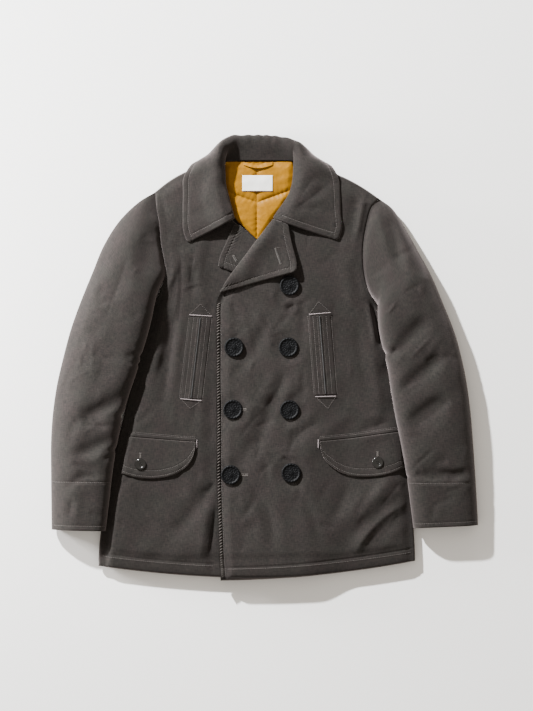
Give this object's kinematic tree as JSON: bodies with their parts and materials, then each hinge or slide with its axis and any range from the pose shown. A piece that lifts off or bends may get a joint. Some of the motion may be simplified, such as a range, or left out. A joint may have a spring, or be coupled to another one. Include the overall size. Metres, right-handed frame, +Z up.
{
  "type": "pea coat",
  "caption": "Padded double-breasted pea coat laid flat, buttoned, with a wide notched collar, slanted hand pockets, rounded flap pockets and a quilted lining showing at the neck.",
  "frame": {"origin": "on the surface the coat lies on, under the middle of its outline", "axes": "+Z up through the coat from back to front, +Y from the hem to the collar, +X towards the wearer's left side"},
  "size_m": [0.7702, 0.8039, 0.0546],
  "materials": {
    "shell_cloth": "matt warm charcoal cloth, two-tone weave",
    "quilted_lining": "soft-sheen mustard nylon, quilted",
    "woven_label": "white satin weave",
    "large_button": "black moulded resin",
    "flap_button": "polished black, dished"
  },
  "bodies": {
    "root": {"back": "shell_cloth", "front_right": "shell_cloth", "front_left": "shell_cloth", "sleeve_right": "shell_cloth", "sleeve_left": "shell_cloth", "collar": "shell_cloth", "lapel_left": "shell_cloth", "lapel_right": "shell_cloth", "lining_back": "quilted_lining", "hanger_loop": "quilted_lining", "label": "woven_label", "welt_right_outer": "shell_cloth", "welt_right_inner": "shell_cloth", "welt_left_outer": "shell_cloth", "welt_left_inner": "shell_cloth", "flap_right": "shell_cloth", "flap_left": "shell_cloth", "jet_right": "shell_cloth", "jet_left": "shell_cloth", "button_overlap_1": "large_button", "button_overlap_2": "large_button", "button_overlap_3": "large_button", "button_display_1": "large_button", "button_display_2": "large_button", "button_display_3": "large_button", "button_display_4": "large_button", "flap_button_right": "flap_button", "flap_button_left": "flap_button"}
  },
  "joints": []
}
